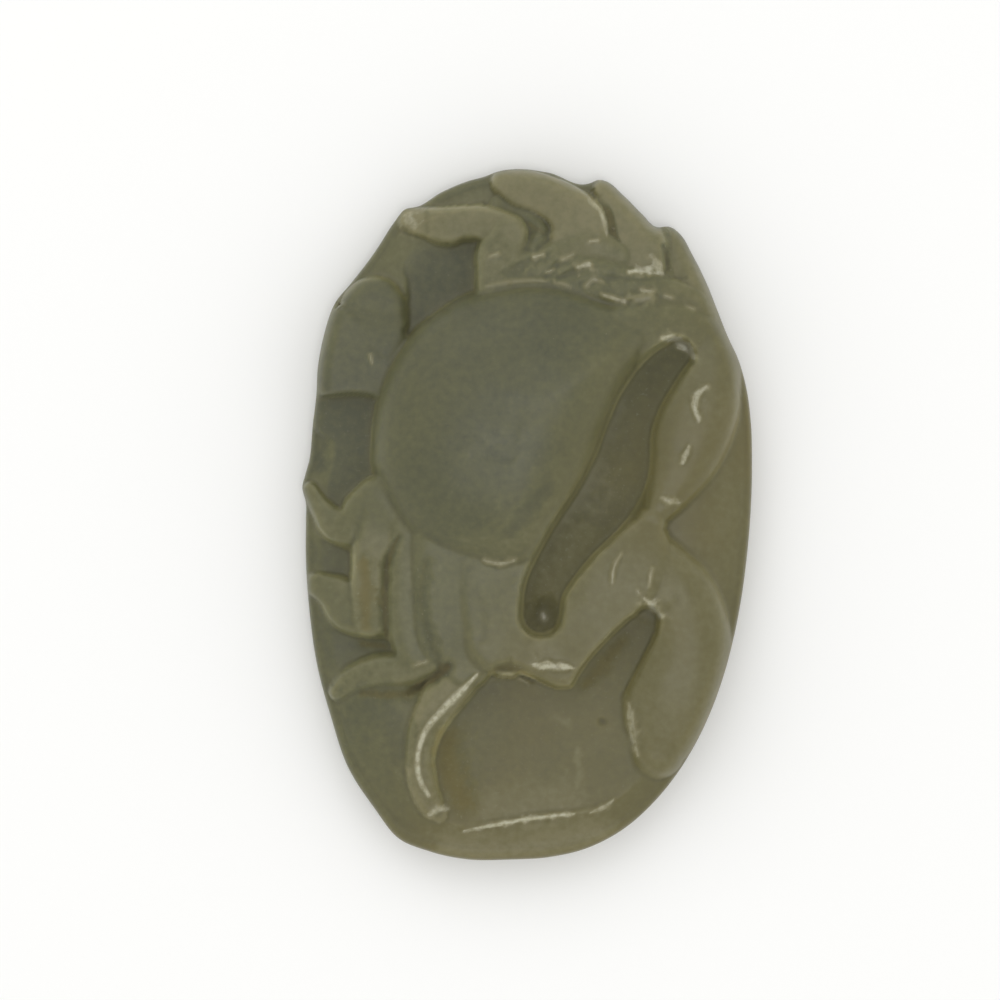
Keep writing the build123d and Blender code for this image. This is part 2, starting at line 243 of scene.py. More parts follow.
TRIMS = [
    # name, tone, grain, edge, rows of x, y, half width, rise
    ("side recess shade", -0.8, 0.5, 0.6, [(314, 408, 20, 0), (312, 440, 20, 0), (320, 466, 16, 0)]),
    # Painted light on the tucked claw's shaded wall, with a slight rise
    ("tucked claw edge", 0.35, 0.1, 0.6, [
        (346, 296, 3, 0.02), (360, 284, 3, 0.03), (377, 280, 3, 0.03), (393, 285, 3, 0.03),
        (403, 300, 3, 0.02),
    ]),
    ("leg 5 gap shade", -0.6, 0.3, 0.6, [(310, 545, 20, 0), (320, 560, 14, 0)]),
    ("leg 6 gap shade", -0.35, 0.3, 0.6, [(320, 624, 20, 0), (332, 656, 18, 0)]),
    ("ground shade", -0.38, 0.2, 0.6, [(356, 725, 36, 0), (376, 775, 40, 0), (402, 815, 36, 0)]),
    ("leg 8 shade", -0.75, 0.1, 0.6, [(372, 706, 40, 0), (396, 722, 28, 0), (400, 752, 22, 0)]),
    ("right ground light", 0.3, 0, 0.6, [(722, 470, 30, 0), (722, 520, 34, 0), (716, 570, 24, 0)]),
    ("shell shade", -0.62, 0, 0.6, [(540, 330, 70, 0), (470, 340, 70, 0), (470, 410, 80, 0)]),
    ("shell left shade", -0.6, 0, 0.6, [(420, 400, 46, 0), (430, 450, 50, 0)]),
    ("shell right light", -0.08, 0, 0.6, [(600, 370, 34, 0), (588, 430, 38, 0), (570, 480, 42, 0)]),
    ("shell foot light", 0.12, 0, 0.6, [
        (570, 480, 46, 0), (540, 515, 52, 0), (500, 545, 34, 0), (465, 540, 20, 0),
    ]),
    ("groove foot light", 0.5, 0.9, 0.6, [(580, 540, 30, 0), (552, 588, 32, 0), (543, 612, 26, 0)]),
    ("basin light", 0.5, 0.2, 0.6, [(490, 806, 36, 0), (560, 800, 40, 0)]),
    ("basin rust", -0.1, 1.5, 0.6, [(444, 735, 30, 0), (450, 770, 34, 0), (464, 800, 24, 0)]),
    ("gap rust", -0.2, 1.3, 0.6, [(622, 640, 12, 0), (600, 668, 14, 0), (584, 684, 10, 0)]),
    ("rim light", 0.98, 0, 0.6, [(450, 846, 30, 0), (520, 846, 32, 0), (600, 830, 30, 0)]),
    # Painted shade in the shell's shallow creases
    ("shell crease 1", -0.65, 0, 0.6, [
        (445, 435, 10, -0.02), (475, 448, 13, -0.04), (503, 461, 10, -0.03),
    ]),
    ("shell crease 2", -0.6, 0, 0.6, [(509, 455, 10, -0.03), (514, 430, 12, -0.04), (517, 400, 9, -0.02)]),
    ("shell crease 3", -0.65, 0, 0.6, [
        (548, 486, 10, -0.02), (530, 508, 13, -0.05), (510, 532, 10, -0.03),
    ]),
    # Painted highlights on the shell's top lip and on its lower tip
    ("shell lip", 0.9, -0.2, 0.5, [
        (486, 289, 3, 0.04), (505, 285, 4, 0.07), (535, 283, 4, 0.07), (556, 284, 4, 0.06),
        (570, 290, 3, 0.05),
    ]),
    ("shell foot", 1.3, -0.5, 0.5, [(484, 559, 4, 0.1), (498, 563, 5, 0.18), (514, 560, 4, 0.1)]),
    # Painted shade in the mouth's shallow creases
    ("mouth crease 1", -0.35, 0.3, 0.7, [(506, 276, 7, -0.1), (528, 264, 8, -0.16), (546, 257, 6, -0.1)]),
    ("mouth crease 2", -0.35, 0.3, 0.7, [(545, 279, 7, -0.1), (558, 267, 7, -0.16), (573, 258, 6, -0.1)]),
    ("mouth crease 3", -0.35, 0.3, 0.7, [(559, 280, 6, -0.1), (574, 274, 7, -0.16), (590, 267, 6, -0.1)]),
    ("mouth crease 4", -0.35, 0.3, 0.7, [(582, 288, 6, -0.1), (596, 283, 7, -0.14), (613, 279, 6, -0.1)]),
    ("mouth glint 1", 1.05, -0.3, 0.6, [(490, 259, 4, 0.1), (498, 256, 4, 0.1)]),
    ("mouth glint 2", 1.25, -0.3, 0.65, [(533, 260, 5, 0.15), (543, 257, 4, 0.1)]),
    ("mouth glint 3", 1.1, -0.3, 0.7, [(562, 262, 5, 0.15), (573, 257, 5, 0.1)]),
    ("mouth glint 4", 1.5, -0.3, 0.75, [(577, 270, 6, 0.15), (588, 267, 6, 0.15)]),
    ("mouth glint 5", 1.15, -0.3, 0.7, [(546, 275, 4, 0.1), (553, 272, 4, 0.1)]),
    ("mouth glint 6", 1.05, -0.3, 0.7, [(585, 288, 4, 0.1), (592, 282, 5, 0.1), (601, 284, 4, 0.1)]),
    ("mouth glint 7", 1.2, -0.3, 0.6, [(589, 244, 4, 0.08), (598, 243, 4, 0.08)]),
    ("brow glint 1", 1.3, -0.3, 0.7, [(603, 298, 5, 0.12), (614, 301, 6, 0.12), (624, 304, 5, 0.1)]),
    # The eye is painted lighter, with painted highlights as its glints
    ("eye", 0.7, -0.3, 0.6, [(634, 301, 9, 0.3), (650, 299, 9, 0.3)]),
    ("eye glint", 1.2, -0.3, 0.6, [(640, 292, 5, 0.05), (652, 294, 5, 0.05)]),
    # Painted shade in the fine crease under the brow
    ("brow crease", -0.3, 0.3, 0.6, [(604, 281, 3, -0.05), (640, 281, 4, -0.08), (685, 280, 3, -0.05)]),
    ("brow speck 1", 1.15, -0.3, 0.6, [(664, 298, 4, 0.05), (670, 300, 4, 0.05)]),
    ("brow speck 2", 1.1, -0.3, 0.6, [(686, 309, 4, 0.05), (692, 311, 4, 0.05)]),
    # Painted shade, with some rust brown, in the slits between the upper legs
    ("leg 3 slit", -0.8, 1.3, 0.4, [(662, 248, 4, -0.1), (664, 258, 5, -0.25), (667, 271, 5, -0.2)]),
    ("leg 2 slit", -0.6, 1.3, 0.5, [(526, 225, 6, 0), (536, 231, 8, -0.1), (543, 235, 7, -0.1)]),
    # Painted highlights on leg 3's specks and ledge
    ("leg 3 specks", 1.3, -0.2, 0.8, [(650, 258, 5, 0.04), (659, 268, 6, 0.05)]),
    ("leg 3 ledge", 1.7, -0.3, 0.7, [(628, 274, 5, 0.1), (645, 273, 7, 0.15), (661, 275, 5, 0.1)]),
    ("leg 1 step", 0.2, 0.3, 0.6, [(428, 212, 3, -0.03), (427, 222, 4, -0.07), (428, 235, 3, -0.03)]),
    # Painted sparkle on leg 1's tip and a painted highlight on leg 2's knee
    ("leg 1 tip", 1.3, 0.9, 0.9, [(407, 216, 14, 0), (414, 226, 14, 0)]),
    ("leg 2 edge", 1.3, -0.3, 0.5, [
        (588, 203, 3, 0.06), (599, 213, 4, 0.1), (604, 226, 4, 0.1), (606, 238, 3, 0.06),
    ]),
    # Painted shade in the creases between the lower legs, with rust brown in leg 6's
    ("leg 5 crease", -0.2, 0.2, 0.5, [(364, 512, 6, -0.04), (359, 528, 6, -0.07), (354, 543, 5, -0.07)]),
    ("leg 6 crease", -0.5, 1.5, 0.5, [
        (398, 538, 6, -0.12), (389, 560, 8, -0.25), (386, 590, 9, -0.3), (386, 620, 9, -0.25),
        (388, 638, 6, -0.1),
    ]),
    ("leg 6 rust", 0.35, 1.5, 0.6, [(366, 562, 14, 0), (367, 596, 18, 0), (367, 626, 14, 0)]),
    # Painted shade, with rust brown, in leg 7's crease and slit
    ("leg 7 crease", -0.4, 1.1, 0.5, [
        (426, 562, 10, -0.1), (421, 588, 11, -0.17), (424, 618, 11, -0.17), (434, 648, 9, -0.2),
        (441, 662, 7, -0.2),
    ]),
    ("leg 7 slit", -1.3, 1.8, 0.3, [
        (416, 687, 7, -0.12), (430, 679, 9, -0.35), (441, 671, 9, -0.35), (448, 665, 8, -0.25),
    ]),
    ("leg 7 shade", -0.5, 1.5, 0.6, [(362, 692, 9, 0), (388, 693, 12, 0), (412, 692, 11, 0)]),
    ("leg 7 glint", 1.1, 0, 0.6, [(415, 664, 4, 0.04), (427, 660, 4, 0.04)]),
    ("leg 6 gap rust", -0.3, 1.5, 0.6, [(364, 643, 9, 0), (384, 645, 9, 0)]),
    # Painted shade in the crease between the lobes
    ("lobe crease", -0.15, 0, 0.4, [(474, 590, 12, -0.03), (480, 612, 12, -0.05), (481, 636, 10, -0.04)]),
    # Painted highlights along leg 8's crest and tip, the rim's lip, the tooth and the finger's ridge, each
    # on a slight rise
    ("leg 8 crest", 1.7, -0.6, 0.3, [
        (477, 673, 4, 0.08), (461, 690, 6, 0.14), (443, 708, 6, 0.16), (428, 726, 6, 0.16),
        (420, 745, 5, 0.16), (418, 762, 5, 0.16), (421, 779, 5, 0.14), (429, 793, 4, 0.08),
    ]),
    ("leg 8 tip", 1.5, -0.4, 0.8, [(430, 812, 5, 0.12), (437, 808, 7, 0.18), (445, 806, 5, 0.12)]),
    ("rim lip", 1.7, -0.6, 0.5, [
        (464, 829, 3, 0.06), (490, 824, 4, 0.14), (520, 818, 4.5, 0.16), (550, 814, 4.5, 0.16),
        (574, 812, 3, 0.12),
    ]),
    ("rim lip end", 1.4, -0.4, 0.6, [(590, 811, 3, 0.08), (604, 805, 5, 0.1), (614, 797, 3, 0.06)]),
    ("tooth", 1.4, -0.4, 0.7, [
        (628, 702, 5, 0.1), (630, 718, 8, 0.2), (632, 738, 7, 0.15), (637, 754, 4, 0.08),
    ]),
    ("finger ridge", 1.8, -0.6, 0.8, [
        (533, 663, 5, 0.06), (545, 664, 7, 0.18), (556, 665, 5, 0.14), (566, 665, 7, 0.18),
        (574, 667, 4, 0.06),
    ]),
    # Painted shade, with rust brown, in the arc under the last lobe, and a painted highlight on the lip
    # below it
    ("lobe arc", -0.5, 1.4, 0.6, [
        (489, 671, 5, -0.2), (501, 666, 7, -0.4), (516, 668, 7, -0.4), (532, 677, 5, -0.2),
    ]),
    ("lobe lip", 1, -0.4, 0.6, [
        (490, 679, 3, 0.08), (501, 675, 5, 0.15), (514, 675, 5, 0.15), (528, 682, 3, 0.08),
    ]),
    # Painted highlights on the end walls of the groove and of the claw gap
    ("groove end", 2, -0.3, 0.7, [
        (662, 340, 5, 0.05), (674, 341, 8, 0.1), (686, 349, 9, 0.1), (692, 358, 7, 0.05),
    ]),
    ("claw gap end", 1.7, -0.3, 0.8, [(643, 597, 4, 0.05), (651, 605, 8, 0.1), (660, 615, 7, 0.08)]),
    ("claw gap speck", 1.2, -0.2, 0.6, [(636, 589, 4, 0.03), (638, 592, 4, 0.03)]),
    # Painted shade in the pit, and a painted highlight as its glint
    ("pit", -0.6, 0.8, 0.3, [(543, 611, 22, -0.5), (543, 616, 22, -0.5)]),
    ("pit glint", 1.6, -0.5, 0.6, [(543, 613, 5, 0.05), (544, 617, 5, 0.05)]),
    # Painted highlights on the arm's dents, the wrist and the palm
    ("arm dent 1", 1.6, -0.5, 0.7, [
        (705, 388, 5, 0.05), (696, 396, 8, 0.1), (693, 408, 7, 0.1), (697, 422, 5, 0.06),
    ]),
    ("arm dent 2", 1.6, -0.5, 0.7, [(687, 447, 4, 0.05), (684, 456, 7, 0.1), (681, 464, 4, 0.05)]),
    ("wrist line", 1.5, -0.5, 0.8, [(660, 498, 4, 0.05), (669, 501, 6, 0.1), (678, 503, 4, 0.05)]),
    ("palm line 1", 1.1, -0.4, 0.6, [(620, 553, 4, 0.05), (613, 566, 5, 0.08), (611, 582, 4, 0.05)]),
    ("palm line 2", 1.2, -0.4, 0.6, [(651, 568, 4, 0.05), (649, 577, 5, 0.08), (648, 586, 4, 0.05)]),
    ("claw speck", 1.2, -0.2, 0.6, [(371, 356, 4, 0.03), (373, 364, 3, 0.03)]),
    ("basin smear", 0.35, 0.2, 0.6, [(553, 716, 7, 0), (568, 722, 8, 0)]),
    ("basin spots", 0.6, 0.3, 0.6, [(577, 748, 5, 0), (579, 765, 6, 0), (577, 784, 5, 0)]),
    ("basin pit", -1.2, 0.3, 0.3, [(601, 720, 5, -0.15), (603, 720, 5, -0.15)]),
]

# The shell's tone, and how square its section is, where 2 is an ellipse
SHELL_SQUARENESS = 3.0
SHELL_TONE = -0.4

# How far the shell's top stays under the solid's, and the tone and width of the painted shade line round
# the edge
TOP_GAP = 0.04 * MM
EDGE_SHADE_TONE = -0.4
EDGE_SHADE_WIDTH = 0.4 * MM

# Over what height a form's tone takes over from the one before it
TONE_STARTS = -0.05 * MM
TONE_FULL = 0.15 * MM
HOLLOW_TONE_LEAST = 0.05 * MM
HOLLOW_TONE_SPREAD = 0.12 * MM

# How far a ragged trim's outline is pulled in and out, and the least that is left of a distance
RAGGED_PULL = 3.6
RAGGED_LEAST = 0.3

# Where the tones fade out on the stone's side, as a share of the edge's height
SIDE_TONE_LOW = 0.3

# How finely the stone is worked
FACE_COLUMNS = 228
FACE_ROWS = 348
SIDE_RINGS = 8
BACK_RINGS = 5
HOLE_SIDES = 48
STROKE_STEP = 0.02 * MM
EASING_PASSES = 1

# The share of the way to the edge where the rows start to close up, a small turn that finds how the
# edge runs, how many widths of the stone the drill is long, and a place on the shell past its reach
EDGE_BAND = 0.85
SMALL_TURN = 1e-4
DRILL_WIDTHS = 1.5
FAR_OFF = 9.0

# How widely a place is compared with what is round it, and how deep it then counts as fully sunk
CAVITY_PASSES = 14
CAVITY_DEPTH = 0.6 * MM

# The noises in the surface's shape, as waves a metre and detail, the number that they waver about,
# and how much the tools' marks are stretched
RIPPLE_NOISE = (350.0, 1.0)
TOOLING_NOISE = (2600.0, 2.0)
CHIP_NOISE = (1500.0, 2.0)
NOISE_MIDDLE = 0.5
TOOLING_STRETCH = 2.0

# How a hollow's wall curves up, where 1 is a straight slope
WALL_CURVE = 2.0

# Rust is stronger towards the lower right, by these shares of the way across and down, between
# these two distances
STAIN_ACROSS = 0.8
STAIN_DOWN = 0.5
STAIN_STARTS = -4.0 * MM
STAIN_FULL = 10.0 * MM

# The noises in the stone's colour and gloss
NOISES = {
    # name: waves a metre, detail, seed, times, plus
    "clouds": (150.0, 3.0, 0.1, 1.1, -0.55),
    "flecks": (1700.0, 5.0, 0.2, 1.4, -0.7),
    "fine bumps": (4200.0, 3.0, 0.3, 1.0, 0.0),
    "grains": (3800.0, 2.0, 0.4, 1.0, 0.0),
    "worn bumps": (1500.0, 3.0, 0.5, 0.35, 0.0),
    "ragged highlights": (2400.0, 3.0, 0.6, 3.6, -0.8),
    "veins": (95.0, 4.0, 0.7, 1.0, 0.0),
    "smears": (420.0, 3.0, 0.9, 0.14, 0.34),
}

# Between which numbers each of these comes in: veins and pale grains by their noise, and the painted
# light on walls, as light through the stone, by how steep a wall is
VEIN_BAND = (0.42, 0.66)
GRAIN_BAND = (0.60, 0.80)
STEEP_BAND = (0.2, 0.8)

# How strong each of these is, as what its number is multiplied by and what is added to it
VEINS = (0.3, 0.7)
STAIN = (0.5, 0.05)
STAIN_WHERE_LIGHT = (-0.6, 1.0)
LIGHT_THROUGH = (0.55, 0.2)
LOOSE_GRAINS = (0.12, 0.03)
FINE_BUMPS = (0.9, 0.12)

# The tone that painted highlights start from, how warm the painted bounce light in sunk places is and
# how pale the painted light on proud edges, how much duller rough stone is, and the least roughness of all
HIGHLIGHT_STARTS = 0.9
SUNK_BOUNCE_LIGHT = 0.55
PROUD_EDGE_LIGHT = 0.08
ROUGH_DULLNESS = 0.24
LEAST_ROUGHNESS = 0.14

# Light of the room, and each softbox's size, watts and place
ROOM_LIGHT = 0.88
ROOM_COLOUR = (1.0, 1.0, 0.98, 1.0)
LIGHTS = [
    # name, size, watts, place
    ("softbox overhead", 0.10, 0.45, (0.03, -0.06, 0.62)),
    ("softbox behind", 0.50, 0.5, (-0.15, 0.40, 0.45)),
]

# The camera's sensor in mm, and how far the table lies under the stone's back
SENSOR_WIDTH = 36.0
TABLE_GAP = 0.02 * MM

ROOT_BODY = "root"
CAD_STONE = "carved_stone"


def length_of(name, description, size):
    """A length that a user may change."""
    return bpy.props.FloatProperty(
        name=name, description=description, default=size, min=0.0, precision=5, unit="LENGTH"
    )


def colour_of(name, description, colour):
    """A colour that a user may change."""
    return bpy.props.FloatVectorProperty(
        name=name, description=description, default=colour, size=3, min=0.0, max=1.0, subtype="COLOR"
    )


class StoneSizes(bpy.types.PropertyGroup):
    """Sizes of the bare stone and its cord hole."""

    width: length_of("Width", "Across the stone's widest line", BOX_SIZE.x)
    length: length_of("Length", "From end to end of the stone", BOX_SIZE.y)
    thickness: length_of("Thickness", "From the back to the top of the shell", BOX_SIZE.z)
    edge_height: length_of("Edge height", "Height of the widest line above the back", 3.0 * MM)
    ground_height: length_of("Ground height", "Height of the face round the crab", 5.6 * MM)
    back_inset: length_of("Back inset", "How far the side curves in to the back", 2.3 * MM)
    crown_inset: length_of("Crown inset", "How far in from the edge the face levels out", 6.0 * MM)
    hole_width: length_of("Hole width", "Diameter of the cord hole", 1.8 * MM)
    hole_height: length_of("Hole height", "Height of the cord hole's middle above the back", 1.9 * MM)
    hole_setback: length_of("Hole setback", "From the upper end to the cord hole's middle", 3.4 * MM)


class CarvingSizes(bpy.types.PropertyGroup):
    """Sizes of the tools' marks and of the forms that they leave."""

    leg_width: length_of("Leg width", "Width of a full leg", 2.5 * MM)
    claw_width: length_of("Claw width", "Width of a full claw or arm", 5.3 * MM)
    hollow_width: length_of("Hollow width", "Width of a full stroke that hollows the ground", 3.13 * MM)
    groove_width: length_of("Groove width", "Width of a full stroke of the deep groove", 3.13 * MM)
    trim_width: length_of("Trim width", "Width of a full stroke of the fine trimming", 0.78 * MM)
    limb_foot: length_of("Limb foot", "Height above the back that a limb's sides start from", 3.4 * MM)
    shell_depth: length_of("Shell depth", "How far the shell's sides reach down from its top", 6.2 * MM)
    wall_run: length_of("Wall run", "How wide the sloping wall of a hollow is", 0.45 * MM)
    wall_rise: length_of("Wall rise", "How high a hollow's wall climbs over its run", 3.2 * MM)
    blend: length_of("Blend", "How softly a limb meets what is round it", 0.12 * MM)
    edge_round: length_of("Edge round", "How far in from the edge the carving starts", 1.3 * MM)
    ripple: length_of("Ripple", "Height of the hand polish's gentle waves", 0.07 * MM)
    tooling: length_of("Tooling", "Height of the rough marks left in the hollows", 0.05 * MM)


class StoneColours(bpy.types.PropertyGroup):
    """Colours of the soapstone, also used for its painted shade, light and highlights."""

    # The deep green also paints shade in hollows and creases
    deep: colour_of("Deep green", "The darkest stone, in the hollows", (0.078, 0.081, 0.046))
    body: colour_of("Grey green", "The stone's body", (0.125, 0.123, 0.058))
    # The warm colour also paints light through thin stone and bounced light in sunk places
    warm: colour_of("Warm", "Thin stone that light shines through", (0.190, 0.175, 0.093))
    rust: colour_of("Rust", "Brown stains in the stone", (0.155, 0.125, 0.043))
    # Rust made darker where the tone is low: a painted shaded copy of the rust
    shaded_rust: colour_of("Umber", "Brown stains where the stone is dark", (0.078, 0.060, 0.022))
    # The pale colour also paints highlights and the light on proud edges, besides pale grains
    pale: colour_of("Pale", "Painted highlights, lit edges and bright grains", (0.420, 0.410, 0.310))


class StageSizes(bpy.types.PropertyGroup):
    """Sizes of the table and the camera, and the table's colour."""

    camera_height: length_of("Camera height", "Height of the camera above the widest line", 0.50)
    picture_width: length_of("Picture width", "Width of the view at the stone", 78.26 * MM)
    stone_right: length_of("Stone right", "How far the stone lies right of the view's middle", 2.11 * MM)
    stone_down: length_of("Stone down", "How far the stone lies below the view's middle", 1.10 * MM)
    floor_width: length_of("Floor width", "Width of the pale table", 2.0)
    floor_colour: colour_of("Floor colour", "The pale table", (0.93, 0.93, 0.93))


class Value:
    """An output of a node, with which sums are written as usual."""

    def __init__(self, wires, socket):
        self.wires = wires
        self.socket = socket

    def __add__(self, other):
        return self.wires.math("ADD", self, other)

    def __sub__(self, other):
        return self.wires.math("SUBTRACT", self, other)

    def __rsub__(self, other):
        return self.wires.math("SUBTRACT", other, self)

    def __mul__(self, other):
        return self.wires.math("MULTIPLY", self, other)

    def __truediv__(self, other):
        return self.wires.math("DIVIDE", self, other)

    def __rtruediv__(self, other):
        return self.wires.math("DIVIDE", other, self)

    def __pow__(self, other):
        return self.wires.math("POWER", self, other)

    def __gt__(self, other):
        return self.wires.math("GREATER_THAN", self, other)

    def at_most(self, other):
        """The smaller of two."""
        return self.wires.math("MINIMUM", self, other)

    def at_least(self, other):
        """The larger of two."""
        return self.wires.math("MAXIMUM", self, other)

    def scaled(self, strength):
        """This number times one and plus another."""
        times, plus = strength
        return self * times + plus

    def clamped(self):
        """Keep this sum between nothing and one."""
        self.socket.node.use_clamp = True
        return self


class Wiring:
    """Adds nodes to a tree and joins their sockets."""

    def __init__(self, tree):
        self.tree = tree

    def node(self, kind, feeds=None, **settings):
        """Add a node, set it up and feed its inputs, by name or by number."""
        made = self.tree.nodes.new(kind)
        for name, value in settings.items():
            setattr(made, name, value)
        for key, value in (feeds or {}).items():
            self.feed(self.socket(made.inputs, key), value)
        return made

    def outputs(self, node):
        """All of a node's outputs by name."""
        return {one.name: Value(self, one) for one in node.outputs}

    def value(self, kind, feeds=None, **settings):
        """Add a node and give its first output."""
        return Value(self, self.node(kind, feeds, **settings).outputs[0])

    def values(self, kind, feeds=None, **settings):
        """Add a node and give all its outputs by name."""
        return self.outputs(self.node(kind, feeds, **settings))

    def socket(self, sockets, key):
        """Find a socket by number, or the one in use that has this name."""
        if isinstance(key, int):
            return sockets[key]
        return next(one for one in sockets if one.name == key and one.enabled)

    def feed(self, socket, value):
        """Join an output to a socket, or set the socket's value."""
        if isinstance(value, Value):
            self.tree.links.new(value.socket, socket)
        else:
            socket.default_value = value

    def math(self, operation, *values):
        """Add one sum and give its result."""
        return self.value("ShaderNodeMath", dict(enumerate(values)), operation=operation)

    def blend(self, share, first, second):
        """Go from the first number to the second by a share."""
        return self.value("ShaderNodeMix", {0: share, 2: first, 3: second}, data_type="FLOAT")

    def step(self, value, low, high):
        """Go smoothly from nothing at one number to one at another."""
        feeds = {0: value, 1: low, 2: high, 3: 0.0, 4: 1.0}
        return self.value("ShaderNodeMapRange", feeds, interpolation_type="SMOOTHSTEP")

    def noise(self, scale, detail):
        """Cloudy noise, as waves a metre."""
        return self.value("ShaderNodeTexNoise", {"Scale": scale, "Detail": detail})

    def blurred(self, value, passes):
        """Even a number out over its neighbours on the surface."""
        feeds = {"Value": value, "Iterations": passes}
        return self.value("GeometryNodeBlurAttribute", feeds, data_type="FLOAT")

    def parts(self, vector):
        """The three numbers of a vector."""
        return list(self.values("ShaderNodeSeparateXYZ", {0: vector}).values())

    def joined(self, **numbers):
        """A vector of its numbers."""
        return self.value("ShaderNodeCombineXYZ", {name.upper(): one for name, one in numbers.items()})

    def named(self, name, kind="FLOAT"):
        """Read a value kept on the surface."""
        return self.value("GeometryNodeInputNamedAttribute", {"Name": name}, data_type=kind)

    def keep(self, geometry, name, value, kind="FLOAT"):
        """Write a value on the surface."""
        feeds = {"Geometry": geometry, "Name": name, "Value": value}
        return self.value("GeometryNodeStoreNamedAttribute", feeds, data_type=kind, domain="POINT")

    def carving(self):
        """Read the face's height, tone and grain."""
        return self.parts(self.named("carving", "FLOAT_VECTOR"))

    def keep_carving(self, geometry, height, tone, grain):
        """Write the face's height, tone and grain together, so that they are worked out only once."""
        return self.keep(geometry, "carving", self.joined(x=height, y=tone, z=grain), "FLOAT_VECTOR")


GEOMETRY = "NodeSocketGeometry"
NUMBER = "NodeSocketFloat"
WHOLE = "NodeSocketInt"
OBJECT = "NodeSocketObject"
MATERIAL = "NodeSocketMaterial"


def new_tree(name, inputs, outputs):
    """Start a Geometry Nodes tree with inputs and outputs that are named by their kind."""
    tree = bpy.data.node_groups.new(name, "GeometryNodeTree")
    for way, kinds in (("INPUT", inputs), ("OUTPUT", outputs)):
        for kind, labels in kinds.items():
            for label in labels:
                tree.interface.new_socket(label, in_out=way, socket_type=kind)
    wires = Wiring(tree)
    return tree, wires, wires.values("NodeGroupInput"), wires.node("NodeGroupOutput").inputs


def stroke_tree():
    """A tree that finds how far each point of the face is from one stroke, and its sizes there."""
    sizes = ("Half Width", "Level", "Tone", "Grain", "Edge")
    tree, wires, given, result = new_tree(
        "Nearest on the stroke",
        {GEOMETRY: ("Strokes",), WHOLE: ("Stroke",)},
        {NUMBER: ("Distance", *sizes)},
    )
    feeds = {"A": wires.named("stroke", "INT"), "B": given["Stroke"]}
    same = wires.value("FunctionNodeCompare", feeds, data_type="INT", operation="EQUAL")
    feeds = {"Geometry": given["Strokes"], "Selection": same}
    one = wires.value("GeometryNodeSeparateGeometry", feeds, domain="POINT")
    here = wires.value("GeometryNodeInputPosition")
    flat = wires.value("ShaderNodeVectorMath", {0: here, 1: (1.0, 1.0, 0.0)}, operation="MULTIPLY")
    feeds = {"Geometry": one, "Sample Position": flat}
    nearest = wires.value("GeometryNodeSampleNearest", feeds, domain="POINT")

    def sampled(value, kind):
        """A value of the stroke where it is nearest."""
        feeds = {"Geometry": one, "Value": value, "Index": nearest}
        return wires.value("GeometryNodeSampleIndex", feeds, data_type=kind, domain="POINT")

    feeds = {0: flat, 1: sampled(here, "FLOAT_VECTOR")}
    apart = wires.values("ShaderNodeVectorMath", feeds, operation="DISTANCE")
    wires.feed(result["Distance"], apart["Value"])
    for label in sizes:
        wires.feed(result[label], sampled(wires.named(label.lower().replace(" ", "_")), "FLOAT"))
    return tree


def raised(wires, given, near, height):
    """The round section of a limb, joined to the height round it, and where it shows."""
    share = near["Distance"] / near["Half Width"]
    section = (1.0 - share.at_most(1.0) ** near["Edge"]) ** (1.0 / near["Edge"])
    limb = section * (near["Level"] - given["Foot"]) + given["Foot"]
    limb = limb - (share > 1.0)
    over = wires.step(limb - height, TONE_STARTS, TONE_FULL)
    return wires.math("SMOOTH_MAX", limb, height, given["Blend"]), over


def hollowed(wires, given, near, height):
    """The floor and climbing wall of a stroke that cuts into the height round it, and where it shows."""
    run = near["Edge"] * given["Run"]
    past = (near["Distance"] - (near["Half Width"] - run)) / run
    hollow = past.at_least(0.0) ** WALL_CURVE * given["Rise"] + near["Level"]
    deep = near["Edge"] * HOLLOW_TONE_SPREAD + HOLLOW_TONE_LEAST
    under = wires.step(height - hollow, TONE_STARTS, deep)
    return wires.math("SMOOTH_MIN", hollow, height, given["Blend"]), under


def trimmed(wires, given, near, height):
    """A small ridge or crease that rides on the height already there, and where it shows."""
    stretch = (wires.noise(*CHIP_NOISE) - NOISE_MIDDLE) * (near["Edge"] * RAGGED_PULL) + 1.0
    torn = near["Distance"] * stretch.at_least(RAGGED_LEAST)
    share = (torn / near["Half Width"]).at_most(1.0)
    left = 1.0 - share * share
    bell = left * left
    return bell * near["Level"] + height, bell


def carving_tree(name, sizes, shape, stroke_group):
    """A tree that works through a run of strokes one by one and shapes the face by each."""
    tree, wires, given, result = new_tree(
        name,
        {GEOMETRY: ("Geometry", "Strokes"), WHOLE: ("First", "Count"), NUMBER: sizes},
        {GEOMETRY: ("Geometry",)},
    )
    start = wires.node("GeometryNodeRepeatInput")
    end = wires.node("GeometryNodeRepeatOutput")
    start.pair_with_output(end)
    wires.feed(start.inputs["Iterations"], given["Count"])
    wires.feed(start.inputs["Geometry"], given["Geometry"])
    turn = wires.outputs(start)
    feeds = {"Strokes": given["Strokes"], "Stroke": turn["Iteration"] + given["First"]}
    near = wires.values("GeometryNodeGroup", feeds, node_tree=stroke_group)
    height, tone, grain = wires.carving()
    shaped, mark = shape(wires, given, near, height)
    tone = wires.blend(mark, tone, near["Tone"])
    grain = wires.blend(mark, grain, near["Grain"])
    wires.feed(end.inputs["Geometry"], wires.keep_carving(turn["Geometry"], shaped, tone, grain))
    wires.feed(result["Geometry"], wires.outputs(end)["Geometry"])
    return tree


